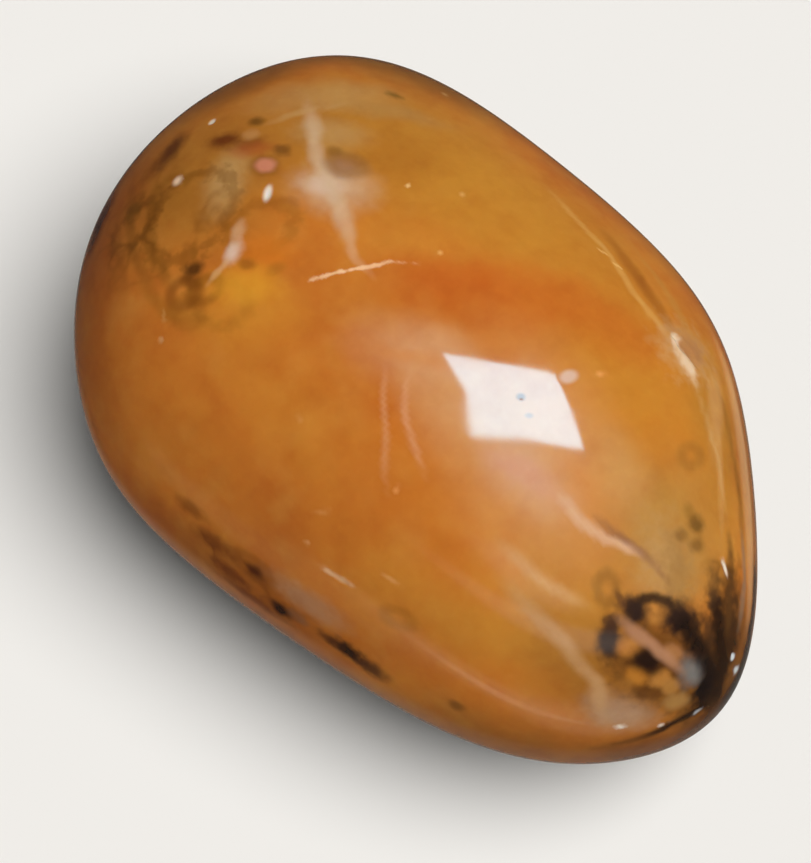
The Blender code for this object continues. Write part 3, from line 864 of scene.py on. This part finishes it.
def tumbled_agate():
    """Tumbled agate, a translucent quartz stained by iron and manganese and polished in a drum.

    The mesh brings the painted colours. The fine mottling of the quartz grains and the polish are added here.
    """
    material = bpy.data.materials.new("tumbled_agate")
    material.use_nodes = True
    tree = material.node_tree
    shader = tree.nodes["Principled BSDF"]
    metres = add(tree, "ShaderNodeTexCoord").outputs["Object"]
    place = add(tree, VECTOR_MATH, {0: metres, "Scale": 1 / MM}, operation="SCALE")
    colour = add(tree, "ShaderNodeAttribute", attribute_name=COLOUR_NAME).outputs["Color"]
    for length, stain, low, high, most in MOTTLES.values():
        grains = add(tree, NOISE, {"Vector": place, "Scale": 1 / length, "Detail": 3.0})
        values = {"Value": grains, "From Min": low, "From Max": high, "To Max": most}
        values = {0: add(tree, MAP_RANGE, values), 6: colour, 7: linear(stain)}
        colour = add(tree, "ShaderNodeMix", values, data_type="RGBA", blend_type="SOFT_LIGHT").outputs[2]
    tree.links.new(colour, shader.inputs["Base Color"])

    # The polish is a shade duller where the drum wore it last.
    worn = add(tree, NOISE, {"Vector": place, "Scale": 1 / WORN_LENGTH, "Detail": 4.0})
    low, high = WORN_RANGE
    values = {"Value": worn, "From Min": low, "From Max": high, "To Min": GLOSSY, "To Max": DULLER}
    tree.links.new(add(tree, MAP_RANGE, values).outputs[0], shader.inputs["Roughness"])
    shader.inputs["IOR"].default_value = QUARTZ_IOR
    shader.inputs["Subsurface Weight"].default_value = GLOW_WEIGHT
    shader.inputs["Subsurface Radius"].default_value = GLOW_COLOURS
    shader.inputs["Subsurface Scale"].default_value = GLOW_DEPTH * MM
    return material


# ----------------------------------------
# The table, the light and the camera
# ----------------------------------------

MIDDLE = (cad_low + cad_high) / 2

# The camera: what it aims at, the azimuth and elevation that it looks from, and its distance in metres.
AIM = MIDDLE + Vector((-0.6, -1.9, -1.7)) * MM
CAMERA_LOOK = (-41, 68)
CAMERA_DISTANCE = 0.187
CAMERA_CLIPS = (0.01, 20)
LENS = 120
SENSOR = 36

TABLE_SIZE = 12
TABLE_COLOUR = "F3F0EB"

# The soft key light: the direction that it comes from, how wide it looks in degrees, and its strength.
KEY_LOOK = (31, 67)
KEY_WIDTH = 48
KEY_STRENGTH = 3.3

# The bright window that the polish mirrors, as the directions of its corners seen from the stone: azimuth and
# elevation. Its frame bows in on two sides.
WINDOW_CORNERS = ((130, 68.5), (111, 64), (97, 56), (85, 60), (73, 62), (86, 74), (115, 84), (121, 74))
WINDOW_DISTANCE = 0.8
WINDOW_STRENGTH = 15.0
WINDOW_COLOUR = "ACE8FF"

# The even light of the room, and its colour as the camera sees it.
ROOM_LIGHT = 0.005
ROOM_PALE = "F1EEE9"

# What the polish mirrors besides the window: patches of a bright table and of pale walls in a dark room, with
# azimuth and elevation for their places and degrees for their half-widths.
MIRROR_STRENGTH = 1.5
ROOM_DARK = "333333"
MIRRORED = {
    "table_under": Patch((0, -76, 0), (600, 18, 1), "8E8880", 0.3, 0, 0.8),
    "table_left": Patch((-92, -15, 0), (20, 5, 1), "D8CCB0", 0.18, -5),
    "table_heel": Patch((-66, -13, 0), (22, 5, 1), "F4E8CC", 0.38, -14),
    "table_tip": Patch((-38, -22, 0), (24, 12, 1), "F0E4CC", 0.42, -20),
    "table_edge": Patch((-58, -17, 0), (22, 1.8, 1), "FFF4DC", 0.85, -18),
    "far_leaf": Patch((-42, 57, 0), (20, 8, 1), "F0E8E0", 0.65, -8),
    "near_leaf": Patch((-38, 35, 0), (34, 6.5, 1), "F0E8E0", 0.65, -4),
    "cheek_streak": Patch((79, -17, 0), (14, 3.5, 1), "E8D8B0", 0.6, -60),
    "cheek_streak_out": Patch((72, -13, 0), (12, 3, 1), "E8D8B0", 0.6, -30),
    "cheek_rim": Patch((80, -46, 0), (16, 7, 1), "D8C8A0", 0.6, 0),
}


def make_floor():
    bpy.ops.mesh.primitive_plane_add(size=TABLE_SIZE, location=(0, 0, 0))
    floor = bpy.context.object
    floor.name = "table"
    material = bpy.data.materials.new("pale_matte_board")
    material.use_nodes = True
    shader = material.node_tree.nodes["Principled BSDF"]
    shader.inputs["Base Color"].default_value = linear(TABLE_COLOUR)
    shader.inputs["Roughness"].default_value = 0.9
    shader.inputs["Specular IOR Level"].default_value = 0.0
    floor.data.materials.append(material)
    floor.visible_glossy = False


def make_key():
    """A broad soft light from above, which throws the stone's shadow and isn't mirrored in its polish."""
    lamp = bpy.data.lights.new("soft_key", "SUN")
    lamp.angle = math.radians(KEY_WIDTH)
    lamp.energy = KEY_STRENGTH
    key = bpy.data.objects.new("soft_key", lamp)
    bpy.context.scene.collection.objects.link(key)
    key.rotation_euler = direction(*KEY_LOOK).to_track_quat("Z", "Y").to_euler()
    key.visible_glossy = False


def make_window():
    """The window, as one glowing sheet that faces the stone."""
    corners = [MIDDLE + direction(*look) * WINDOW_DISTANCE for look in WINDOW_CORNERS]
    mesh = bpy.data.meshes.new("window")
    mesh.from_pydata([tuple(c) for c in corners], [], [tuple(range(len(corners)))])
    window = bpy.data.objects.new("window", mesh)
    bpy.context.scene.collection.objects.link(window)
    material = bpy.data.materials.new("daylight")
    material.use_nodes = True
    tree = material.node_tree
    tree.nodes.clear()
    glow = add(tree, "ShaderNodeEmission", {"Color": linear(WINDOW_COLOUR), "Strength": WINDOW_STRENGTH})
    add(tree, "ShaderNodeOutputMaterial", {"Surface": glow})
    mesh.materials.append(material)
    window.visible_camera = False
    window.visible_diffuse = False
    window.visible_shadow = False


def make_world():
    """A pale room with even light, and for the polish a dark room with a bright table and pale walls."""
    world = bpy.data.worlds.new("pale_room")
    bpy.context.scene.world = world
    world.use_nodes = True
    tree = world.node_tree
    tree.nodes.clear()
    path = add(tree, "ShaderNodeLightPath").outputs
    look = add(tree, "ShaderNodeTexCoord").outputs["Generated"]
    part = add(tree, "ShaderNodeSeparateXYZ", {0: look}).outputs
    turn = add(tree, MATH, {0: part["Y"], 1: part["X"]}, operation="ARCTAN2")
    rise = add(tree, MATH, {0: part["Z"]}, operation="ARCSINE")
    place = add(tree, "ShaderNodeCombineXYZ", {0: turn, 1: rise})
    place = add(tree, VECTOR_MATH, {0: place, "Scale": math.degrees(1)}, operation="SCALE")
    group = paint_group("ShaderNodeTree")
    colour = linear(ROOM_DARK)
    for patch in MIRRORED.values():
        slant = (0, 0, math.radians(patch.turn))
        colour = lay(tree, group, colour, place, NOISE_MIDDLE, patch, patch.centre, slant)
    ambient = add(tree, "ShaderNodeBackground", {"Color": (1, 1, 1, 1), "Strength": ROOM_LIGHT})
    seen = add(tree, "ShaderNodeBackground", {"Color": linear(ROOM_PALE), "Strength": 1.0})
    mirrored = add(tree, "ShaderNodeBackground", {"Color": colour, "Strength": MIRROR_STRENGTH})
    mix = add(tree, "ShaderNodeMixShader", {0: path["Is Camera Ray"], 1: ambient, 2: seen})
    mix = add(tree, "ShaderNodeMixShader", {0: path["Is Glossy Ray"], 1: mix, 2: mirrored})
    add(tree, "ShaderNodeOutputWorld", {"Surface": mix})


def make_camera():
    camera = bpy.data.objects.new("camera", bpy.data.cameras.new("camera"))
    bpy.context.scene.collection.objects.link(camera)
    camera.data.lens = LENS
    camera.data.sensor_width = SENSOR
    back = direction(*CAMERA_LOOK)
    camera.location = AIM + back * CAMERA_DISTANCE
    camera.rotation_euler = back.to_track_quat("Z", "Y").to_euler()
    camera.data.clip_start, camera.data.clip_end = CAMERA_CLIPS
    bpy.context.scene.camera = camera


stone = make_stone(tumbled_agate())
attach(stone, "root")
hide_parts(NODE)
stone.visible_diffuse = False
make_floor()
make_key()
make_window()
make_world()
make_camera()
bpy.context.scene.view_settings.view_transform = "Standard"
